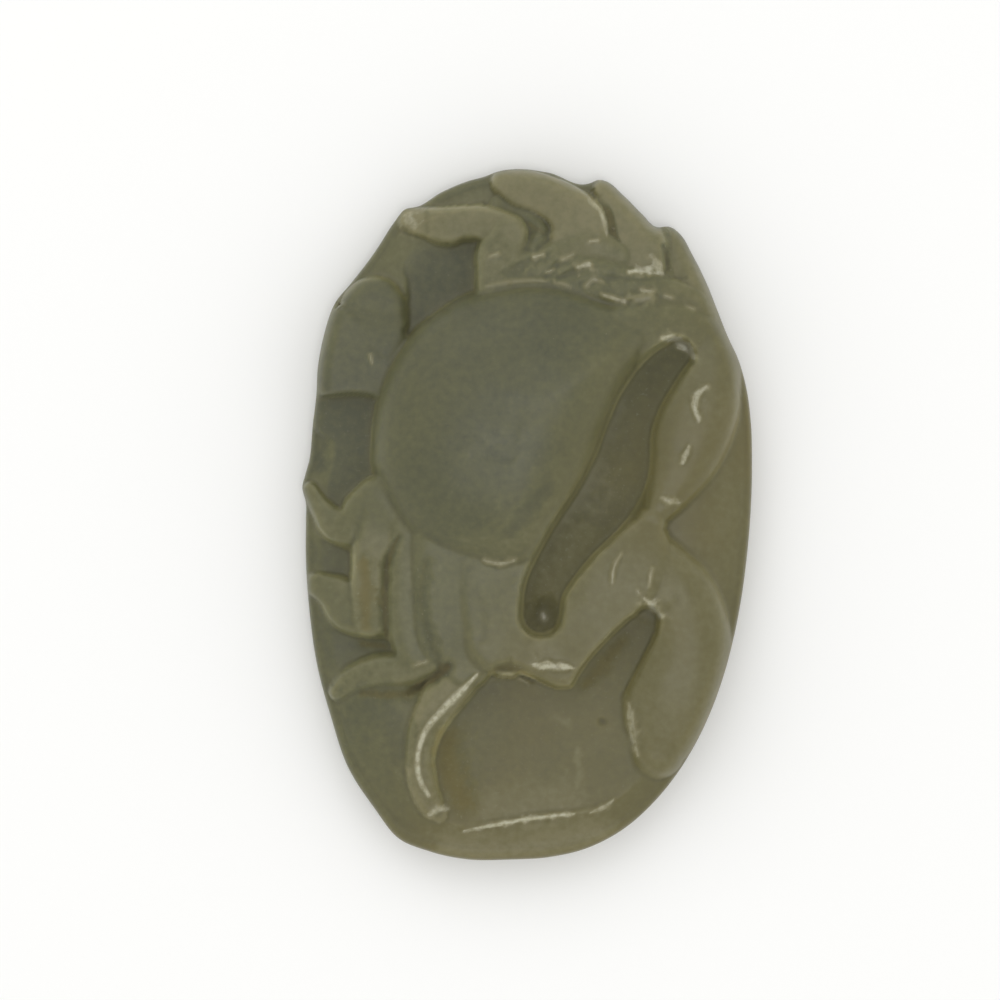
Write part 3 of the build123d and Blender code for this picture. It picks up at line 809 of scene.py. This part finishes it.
def stroke_points(wires, size):
    """Every stroke as close points on a smooth curve through its rows."""
    drawn = wires.values("GeometryNodeObjectInfo", {"Object": size["Strokes"]}, transform_space="ORIGINAL")
    paths = wires.value("GeometryNodeMeshToCurve", {"Mesh": drawn["Geometry"]})
    smooth = wires.value("GeometryNodeCurveSplineType", {"Curve": paths}, spline_type="CATMULL_ROM")
    fine = wires.value("GeometryNodeResampleCurve", {"Curve": smooth, "Length": STROKE_STEP}, mode="LENGTH")
    return wires.value("GeometryNodeCurveToPoints", {"Curve": fine}, mode="EVALUATED")


def with_shell(wires, size, made):
    """Raise the smooth dome of the shell."""
    height, tone, grain = wires.carving()
    inside = wires.named("shell_share").at_most(1.0)
    section = (1.0 - inside**SHELL_SQUARENESS) ** (1.0 / SHELL_SQUARENESS)
    dome = section * size["Shell Depth"] + (size["Thickness"] - size["Shell Depth"])
    over = wires.step(dome - height, 0.0, TONE_FULL)
    tone = wires.blend(over, tone, SHELL_TONE)
    grain = wires.blend(over, grain, 0.0)
    return wires.keep_carving(made, wires.math("SMOOTH_MAX", dome, height, size["Blend"]), tone, grain)


def eased(wires, made):
    """Ease the steps between the forms a little, as polishing does."""
    height, tone, grain = wires.carving()
    return wires.keep_carving(made, wires.blurred(height, EASING_PASSES), tone, grain)


def hand_worked(wires, size, made, bare, near_edge):
    """Round the carving off at the edge, and add the polish's waves and the tools' rough marks."""
    height, tone, grain = wires.carving()
    from_edge = 1.0 - near_edge
    share = wires.math("SQRT", 1.0 - from_edge * from_edge)
    carved = (height - bare) * share + bare
    gentle = (wires.noise(*RIPPLE_NOISE) - NOISE_MIDDLE) * size["Ripple"]
    rough = (wires.noise(*TOOLING_NOISE) - NOISE_MIDDLE) * size["Tooling"]
    rough = rough * grain.at_most(1.0).clamped() * TOOLING_STRETCH
    surface = (rough + gentle) * share + carved
    surface = wires.blend(wires.named("inset") > 0.0, bare, surface)
    return wires.keep_carving(made, surface, tone, grain)


def lifted(wires, size, made, here, near_edge):
    """Lift the face to its carved height, and keep what the material needs to know of it."""
    across, along, bare = wires.parts(here)
    height, tone, grain = wires.carving()
    cavity = (wires.blurred(height, CAVITY_PASSES) - height) / CAVITY_DEPTH
    inset = wires.named("inset")
    made = wires.keep(made, "cavity", cavity * (inset > 0.0))
    down_side = wires.step(bare, size["Edge Height"] * SIDE_TONE_LOW, size["Edge Height"])
    # Paint a line of shade round the stone's edge
    tone = wires.blend(wires.step(inset, 0.0, EDGE_SHADE_WIDTH), EDGE_SHADE_TONE, tone)
    made = wires.keep(made, "tone", tone * down_side)
    made = wires.keep(made, "grain", grain * down_side)
    feeds = {"Geometry": made, "Position": wires.joined(x=across, y=along, z=height)}
    made = wires.value("GeometryNodeSetPosition", feeds)
    steep = 1.0 - wires.parts(wires.value("GeometryNodeInputNormal"))[2]
    return wires.keep(made, "steep", steep * near_edge)


def with_cord_hole(wires, size, made):
    """Drill the cord hole straight across the upper end."""
    feeds = {"Vertices": HOLE_SIDES, "Radius": size["Hole Width"] / 2.0, "Depth": size["Hole Length"]}
    drill = wires.value("GeometryNodeMeshCylinder", feeds)
    there = wires.joined(y=size["Hole Along"], z=size["Hole Height"])
    feeds = {"Geometry": drill, "Translation": there, "Rotation": (0.0, math.pi / 2, 0.0)}
    feeds = {"Mesh 1": made, "Mesh 2": wires.value("GeometryNodeTransform", feeds)}
    return wires.value("GeometryNodeMeshBoolean", feeds, operation="DIFFERENCE", solver="MANIFOLD")


def pendant_tree(groups, counts, sizes):
    """The whole carving: hollows, shell, limbs, cuts and trimming, then polish and the cord hole."""
    tree, wires, size, result = new_tree(
        "Carve the crab",
        {GEOMETRY: ("Geometry",), OBJECT: ("Strokes",), MATERIAL: ("Material",), NUMBER: sizes},
        {GEOMETRY: ("Geometry",)},
    )
    strokes = stroke_points(wires, size)
    here = wires.value("GeometryNodeInputPosition")
    bare = wires.parts(here)[2]
    near_edge = (wires.named("inset") / size["Edge Round"]).clamped()
    first = 0

    def work(made, kind, name, feeds):
        """Let one kind of tool work through its strokes."""
        nonlocal first
        feeds = {"Geometry": made, "Strokes": strokes, "First": first, "Count": counts[name], **feeds}
        first += counts[name]
        return wires.value("GeometryNodeGroup", feeds, node_tree=groups[kind])

    cutting = {"Run": size["Wall Run"], "Rise": size["Wall Rise"], "Blend": size["Blend"]}
    raising = {"Foot": size["Limb Foot"], "Blend": size["Blend"]}
    made = wires.keep_carving(size["Geometry"], bare, 0.0, 0.0)
    made = work(made, "limb", "far claw", raising)
    made = work(made, "hollow", "hollows", cutting)
    made = with_shell(wires, size, made)
    made = work(made, "limb", "legs", raising)
    made = work(made, "limb", "claws", raising)
    made = work(made, "hollow", "cuts", cutting)
    made = eased(wires, made)
    made = work(made, "trim", "trims", {})
    made = hand_worked(wires, size, made, bare, near_edge)
    made = lifted(wires, size, made, here, near_edge)
    made = with_cord_hole(wires, size, made)
    made = wires.value("GeometryNodeSetShadeSmooth", {0: made})
    made = wires.value("GeometryNodeRealizeInstances", {"Geometry": made})
    made = wires.value("GeometryNodeSetMaterial", {"Geometry": made, "Material": size["Material"]})
    wires.feed(result["Geometry"], made)
    return tree


def round_trip(angles, table, middle=(0.0, 0.0)):
    """How far a closed outline lies from a middle at each angle, smoothly through the table's points."""
    points = np.array(table) - np.array(middle)
    turns = np.arctan2(points[:, 1], points[:, 0])
    order = np.argsort(turns)
    turns, reach = turns[order], np.hypot(points[order, 0], points[order, 1])
    turns = np.concatenate((turns[-2:] - 2 * math.pi, turns, turns[:3] + 2 * math.pi))
    reach = np.concatenate((reach[-2:], reach, reach[:3]))
    slopes = np.gradient(reach, turns)
    index = np.clip(np.searchsorted(turns, angles) - 1, 0, len(turns) - 2)
    gap = turns[index + 1] - turns[index]
    share = (angles - turns[index]) / gap
    rise = share * share * (3 - 2 * share)
    return (
        reach[index] * (1 - rise)
        + reach[index + 1] * rise
        + slopes[index] * gap * share * (1 - share) ** 2
        - slopes[index + 1] * gap * share * share * (1 - share)
    )


def share_of_stone(place):
    """Turn a place in the drawing into shares of the stone's half width and half length."""
    across = (place[0] - DRAWING_MIDDLE[0]) / DRAWING_HALF[0]
    along = (DRAWING_MIDDLE[1] - place[1]) / DRAWING_HALF[1]
    return across, along


def face_points(sizes):
    """The face's points and heights, row by row, their way from the edge and their place on the shell."""
    half = np.array((sizes.width / 2, sizes.length / 2))
    across, along = np.meshgrid(np.linspace(-1, 1, FACE_COLUMNS + 1), np.linspace(-1, 1, FACE_ROWS + 1))
    disc_x = (across * np.sqrt(1 - along**2 / 2)).ravel()
    disc_y = (along * np.sqrt(1 - across**2 / 2)).ravel()
    reach = np.hypot(disc_x, disc_y)
    angle = np.arctan2(disc_y, disc_x)
    stretch = 1 / (EDGE_BAND + (1 - EDGE_BAND) * 2 / math.pi)
    band = np.clip((reach - EDGE_BAND) / (1 - EDGE_BAND), 0, 1)
    curved = stretch * EDGE_BAND + (1 - stretch * EDGE_BAND) * np.sin(band * math.pi / 2)
    reach = np.where(reach < EDGE_BAND, stretch * reach, curved)
    edge_points = [share_of_stone(place) for place in OUTLINE]

    def rim_at(turn):
        """The points of the outline at these angles."""
        return np.stack((np.cos(turn), np.sin(turn)), -1) * round_trip(turn, edge_points)[:, None] * half

    rim = rim_at(angle)
    face = rim * reach[:, None]
    tangent = rim_at(angle + SMALL_TURN) - rim
    crossed = np.abs(tangent[:, 0] * rim[:, 1] - tangent[:, 1] * rim[:, 0])
    inset = (1 - reach) * crossed / np.hypot(tangent[:, 0], tangent[:, 1])
    level = np.clip((1 - reach) / (2 * sizes.crown_inset / sizes.width), 0, 1)
    height = sizes.edge_height + (sizes.ground_height - sizes.edge_height) * np.sqrt(1 - (1 - level) ** 2)

    middle = share_of_stone(SHELL_MIDDLE)
    shell_points = [share_of_stone(place) for place in SHELL_OUTLINE]
    from_shell = face / half - np.array(middle)
    shell_angle = np.arctan2(from_shell[:, 1], from_shell[:, 0])
    shell_reach = round_trip(shell_angle, shell_points, middle)
    shell_share = np.hypot(from_shell[:, 0], from_shell[:, 1]) / shell_reach
    return face, height, inset, shell_share


def side_and_back(sizes):
    """How much smaller than the edge each ring of the side and back is, and how high it lies."""
    rings = []
    for ring in range(1, SIDE_RINGS + 1):
        turn = math.pi / 2 * ring / SIDE_RINGS
        size = 1 - 2 * sizes.back_inset * (1 - math.cos(turn)) / sizes.width
        rings.append((size, sizes.edge_height * (1 - math.sin(turn))))
    back = rings[-1][0]
    rings += [(back * (1 - ring / BACK_RINGS), 0.0) for ring in range(1, BACK_RINGS)]
    return rings


def bare_stone(sizes):
    """The bare stone as a closed mesh: the face, the rounded side and the flat back."""
    face, height, inset, shell_share = face_points(sizes)
    wide, tall = FACE_COLUMNS + 1, FACE_ROWS + 1
    number = np.arange(wide * tall).reshape(tall, wide)
    edge = np.concatenate((number[0, :-1], number[:-1, -1], number[-1, :0:-1], number[:0:-1, 0]))
    inset[edge] = 0.0
    height[edge] = sizes.edge_height
    corners = (number[:-1, :-1], number[:-1, 1:], number[1:, 1:], number[1:, :-1])
    faces = [np.stack(corners, -1).reshape(-1, 4)]
    points = [np.column_stack((face, height))]
    above, count = edge, wide * tall
    for size, low in side_and_back(sizes):
        points.append(np.column_stack((face[edge] * size, np.full(len(edge), low))))
        below = count + np.arange(len(edge))
        faces.append(np.stack((above, below, np.roll(below, -1), np.roll(above, -1)), -1))
        above, count = below, count + len(edge)
    points.append(np.zeros((1, 3)))
    fan = [(count, int(b), int(a)) for a, b in zip(above, np.roll(above, -1))]

    mesh = bpy.data.meshes.new("bare_stone")
    mesh.from_pydata(np.concatenate(points).tolist(), [], np.concatenate(faces).tolist() + fan)
    behind = count + 1 - wide * tall
    for name, values in (
        ("inset", np.concatenate((inset, np.zeros(behind)))),
        ("shell_share", np.concatenate((shell_share, np.full(behind, FAR_OFF)))),
    ):
        mesh.attributes.new(name, "FLOAT", "POINT").data.foreach_set("value", values.astype(np.float32))
    return mesh


def stroke_paths(kinds, sizes):
    """Draw every stroke as a line of points that carry its sizes, and count the strokes of each kind."""
    climb = (sizes.thickness - sizes.ground_height) / (DRAWN_TOP - DRAWN_GROUND)
    places, joins, numbers = [], [], []
    values = {"half_width": [], "level": [], "tone": [], "grain": [], "edge": []}
    counts = {}
    stroke = 0
    for kind, table, width, drawn_width, ground, drawn_ground in kinds:
        counts[kind] = len(table)
        for name, tone, grain, edge, rows in table:
            for row, (x, y, half_width, height) in enumerate(rows):
                if row:
                    joins.append((len(places) - 1, len(places)))
                across, along = share_of_stone((x, y))
                places.append((across * sizes.width / 2, along * sizes.length / 2, 0.0))
                numbers.append(stroke)
                values["half_width"].append(half_width / drawn_width * width / 2)
                values["level"].append(ground + (height - drawn_ground) * climb)
                values["tone"].append(tone)
                values["grain"].append(grain)
                values["edge"].append(edge)
            stroke += 1
    mesh = bpy.data.meshes.new("strokes")
    mesh.from_pydata(places, joins, [])
    mesh.attributes.new("stroke", "INT", "POINT").data.foreach_set("value", numbers)
    for name, listed in values.items():
        mesh.attributes.new(name, "FLOAT", "POINT").data.foreach_set("value", listed)
    return mesh, counts


def placed(name, mesh):
    """Put a mesh in the scene at the origin."""
    made = bpy.data.objects.new(name, mesh)
    bpy.context.scene.collection.objects.link(made)
    return made


def stone_noise(wires, place, name):
    """One of the stone's noises, away from the others by its seed."""
    scale, detail, seed, *strength = NOISES[name]
    away = (seed, seed * 2, seed * 3)
    moved = wires.value("ShaderNodeVectorMath", {0: place, 1: away}, operation="ADD")
    feeds = {"Vector": moved, "Scale": scale, "Detail": detail}
    return wires.value("ShaderNodeTexNoise", feeds).scaled(strength)


def mixed(wires, share, first, second):
    """Go from one colour to another by a share."""
    made = wires.node("ShaderNodeMix", {0: share, 6: first, 7: second}, data_type="RGBA")
    return Value(wires, made.outputs[2])


def stone_colour(wires, place, kept, colours):
    """Cloudy green stone with rusty veins, painted with shade, highlights and light through thin stone, and
    with painted light in sunk places, on steep walls and on proud edges.
    """
    tone, grain, cavity, steep = kept
    deep, body, warm, rust, shaded_rust, pale = (
        (*getattr(colours, name), 1.0) for name in ("deep", "body", "warm", "rust", "shaded_rust", "pale")
    )

    # Clouds and flecks push each place's tone towards green or warm; a low tone also paints shade and a
    # high one paints light through thin stone
    shade = tone + stone_noise(wires, place, "clouds") + stone_noise(wires, place, "flecks")
    dark = (shade * -1.0).clamped()
    light = (shade * 1.0).clamped()

    # Painted highlights are pale with a ragged edge, and stained places rust, painted darker where the tone
    # is low as rust in shade
    bright = ((tone - HIGHLIGHT_STARTS) * stone_noise(wires, place, "ragged highlights")).clamped()
    brown = (grain - 1.0).clamped()
    colour = mixed(wires, dark, body, deep)
    colour = mixed(wires, light, colour, warm)
    colour = mixed(wires, bright, colour, pale)
    colour = mixed(wires, brown, colour, mixed(wires, dark, rust, shaded_rust))

    # Rusty veins, stronger towards the lower right
    veins = wires.step(stone_noise(wires, place, "veins"), *VEIN_BAND).scaled(VEINS)
    across, along = wires.parts(place)[:2]
    browner = wires.step(across * STAIN_ACROSS - along * STAIN_DOWN, STAIN_STARTS, STAIN_FULL)
    browner = browner.scaled(STAIN) * light.scaled(STAIN_WHERE_LIGHT)
    colour = mixed(wires, veins * browner, colour, rust)

    # Painted light: sunk places are painted warm as light bounced from the walls, steep walls are painted
    # lighter as light through the stone, and proud edges are painted pale
    sunk = (cavity.at_most(1.0) * SUNK_BOUNCE_LIGHT).clamped()
    proud = (cavity * -PROUD_EDGE_LIGHT).clamped()
    colour = mixed(wires, sunk, colour, warm)
    through = (grain * 1.0).clamped().scaled(LIGHT_THROUGH)
    lit_through = wires.step(steep, *STEEP_BAND) * through + 1.0
    colour = wires.value("ShaderNodeVectorMath", {0: colour, "Scale": lit_through}, operation="SCALE")
    colour = mixed(wires, proud, colour, pale)

    # Loose pale grains where the stone was left rough
    grains = wires.step(stone_noise(wires, place, "grains"), *GRAIN_BAND)
    loose = grain.scaled(LOOSE_GRAINS).clamped() * (1.0 - brown)
    return mixed(wires, grains * loose, colour, pale)


def stone_finish(wires, place, grain):
    """How dull the stone is and its smallest bumps: polished where smooth, dull and bumpy where rough."""
    smears = stone_noise(wires, place, "smears")
    roughness = (grain * ROUGH_DULLNESS + smears).at_least(LEAST_ROUGHNESS)
    fine = stone_noise(wires, place, "fine bumps") * grain.scaled(FINE_BUMPS).clamped()
    worn = stone_noise(wires, place, "worn bumps")
    feeds = {"Strength": 0.35, "Distance": 0.06 * MM, "Height": fine + worn}
    return roughness, wires.value("ShaderNodeBump", feeds)


def soapstone(colours):
    """Waxy grey-green soapstone: polished where it stands proud, dull and granular in the hollows."""
    material = bpy.data.materials.new("soapstone")
    material.use_nodes = True
    material.node_tree.nodes.clear()
    wires = Wiring(material.node_tree)
    place = wires.values("ShaderNodeTexCoord")["Object"]
    kept = [
        wires.values("ShaderNodeAttribute", attribute_name=name)["Fac"]
        for name in ("tone", "grain", "cavity", "steep")
    ]
    roughness, bump = stone_finish(wires, place, kept[1])
    feeds = {
        "Base Color": stone_colour(wires, place, kept, colours),
        "Roughness": roughness,
        "Normal": bump,
        "IOR": 1.54,
        "Specular IOR Level": 0.33,
        "Subsurface Weight": 0.85,
        "Subsurface Radius": (1.0, 0.95, 0.75),
        "Subsurface Scale": 0.0018,
    }
    wires.node("ShaderNodeOutputMaterial", {"Surface": wires.value("ShaderNodeBsdfPrincipled", feeds)})
    return material


class CRAB_OT_carved_stone(bpy.types.Operator):
    """Carve the crab pendant out of its stone"""

    bl_idname = "crab.carved_stone"
    bl_label = "Carved stone"

    def execute(self, context):
        sizes = context.scene.crab_stone
        carving = context.scene.crab_carving
        ground = sizes.ground_height
        kinds = [
            # kind, strokes, width, drawn half width, ground height, drawn ground height
            ("far claw", FAR_CLAW, carving.claw_width, DRAWN_CLAW, ground, DRAWN_GROUND),
            ("hollows", HOLLOWS, carving.hollow_width, DRAWN_HOLLOW, ground, DRAWN_GROUND),
            ("legs", LEGS, carving.leg_width, DRAWN_LEG, ground, DRAWN_GROUND),
            ("claws", CLAWS, carving.claw_width, DRAWN_CLAW, ground, DRAWN_GROUND),
            ("cuts", CUTS, carving.groove_width, DRAWN_GROOVE, ground, DRAWN_GROUND),
            ("trims", TRIMS, carving.trim_width, DRAWN_TRIM, 0.0, 0.0),
        ]
        paths, counts = stroke_paths(kinds, sizes)
        strokes = placed("strokes", paths)
        stone = placed("crab_pendant", bare_stone(sizes))
        nearest = stroke_tree()
        groups = {
            "hollow": carving_tree("Cut hollows", ("Run", "Rise", "Blend"), hollowed, nearest),
            "limb": carving_tree("Raise limbs", ("Foot", "Blend"), raised, nearest),
            "trim": carving_tree("Trim", (), trimmed, nearest),
        }
        lengths = {
            "Thickness": sizes.thickness - TOP_GAP,
            "Hole Length": sizes.width * DRILL_WIDTHS,
            "Hole Along": sizes.length / 2 - sizes.hole_setback,
        }
        for group, names in (
            (sizes, "edge_height hole_width hole_height"),
            (carving, "limb_foot shell_depth wall_run wall_rise blend edge_round ripple tooling"),
        ):
            for name in names.split():
                lengths[name.replace("_", " ").title()] = getattr(group, name)
        given = {"Strokes": strokes, "Material": soapstone(context.scene.crab_colours), **lengths}
        carve = stone.modifiers.new("Carve the crab", "NODES")
        carve.node_group = pendant_tree(groups, counts, lengths)
        for item in carve.node_group.interface.items_tree:
            if item.in_out == "INPUT" and item.name in given:
                carve[item.identifier] = given[item.name]
        made = context.evaluated_depsgraph_get()
        shaped = bpy.data.meshes.new_from_object(
            stone.evaluated_get(made), preserve_all_data_layers=True, depsgraph=made
        )
        stone.modifiers.clear()
        stone.data = shaped
        bpy.data.objects.remove(strokes)
        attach(stone, ROOT_BODY)
        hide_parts(CAD_STONE)
        return {"FINISHED"}


def soft_light(name, size, watts, place, aim):
    """A square softbox that looks at a point."""
    light = bpy.data.lights.new(name, "AREA")
    light.shape = "SQUARE"
    light.size = size
    light.energy = watts
    made = placed(name, light)
    made.location = place
    turn = (np.array(aim) - np.array(place)).tolist()
    made.rotation_mode = "QUATERNION"
    made.rotation_quaternion = mathutils.Vector(turn).to_track_quat("-Z", "Y")


class CRAB_OT_stage(bpy.types.Operator):
    """Set the table, the lights and the camera"""

    bl_idname = "crab.stage"
    bl_label = "Stage"

    def execute(self, context):
        stage = context.scene.crab_stage
        sizes = context.scene.crab_stone
        half = stage.floor_width / 2
        mesh = bpy.data.meshes.new("table")
        low = -TABLE_GAP
        corners = [(-half, -half, low), (half, -half, low), (half, half, low), (-half, half, low)]
        mesh.from_pydata(corners, [], [(0, 1, 2, 3)])
        table = placed("table", mesh)
        pale = bpy.data.materials.new("pale table")
        pale.use_nodes = True
        paint = pale.node_tree.nodes["Principled BSDF"]
        paint.inputs["Base Color"].default_value = (*stage.floor_colour, 1.0)
        paint.inputs["Roughness"].default_value = 0.9
        mesh.materials.append(pale)

        world = bpy.data.worlds.new("soft room")
        world.use_nodes = True
        world.node_tree.nodes["Background"].inputs["Color"].default_value = ROOM_COLOUR
        world.node_tree.nodes["Background"].inputs["Strength"].default_value = ROOM_LIGHT
        context.scene.world = world
        middle = (0.0, 0.0, sizes.thickness / 2)
        for name, size, watts, place in LIGHTS:
            soft_light(name, size, watts, place, middle)

        camera = bpy.data.cameras.new("camera")
        camera.sensor_width = SENSOR_WIDTH
        camera.lens = SENSOR_WIDTH * stage.camera_height / stage.picture_width
        camera.clip_start = 0.01
        camera.clip_end = 10.0
        made = placed("camera", camera)
        made.location = (-stage.stone_right, stage.stone_down, sizes.edge_height + stage.camera_height)
        context.scene.camera = made
        context.scene.view_settings.view_transform = "Standard"
        return {"FINISHED"}


class CRAB_PT_workbench(bpy.types.Panel):
    """Sizes, colours and steps of the crab pendant"""

    bl_idname = "CRAB_PT_workbench"
    bl_label = "Crab pendant"
    bl_space_type = "VIEW_3D"
    bl_region_type = "UI"
    bl_category = "Crab"

    def draw(self, context):
        for name in ("crab_stone", "crab_carving", "crab_colours", "crab_stage"):
            group = getattr(context.scene, name)
            box = self.layout.box()
            for key in group.bl_rna.properties.keys():
                if key not in ("rna_type", "name"):
                    box.prop(group, key)
        for step in STEPS:
            self.layout.operator(step.bl_idname)


GROUPS = {
    "crab_stone": StoneSizes,
    "crab_carving": CarvingSizes,
    "crab_colours": StoneColours,
    "crab_stage": StageSizes,
}
STEPS = (CRAB_OT_carved_stone, CRAB_OT_stage)
CLASSES = (*GROUPS.values(), *STEPS, CRAB_PT_workbench)


def register():
    for one in CLASSES:
        bpy.utils.register_class(one)
    for name, group in GROUPS.items():
        setattr(bpy.types.Scene, name, bpy.props.PointerProperty(type=group))


def unregister():
    for name in GROUPS:
        delattr(bpy.types.Scene, name)
    for one in reversed(CLASSES):
        bpy.utils.unregister_class(one)


def main():
    """Make the pendant and its stage."""
    register()
    bpy.ops.crab.carved_stone()
    bpy.ops.crab.stage()


if __name__ == "__main__":
    main()
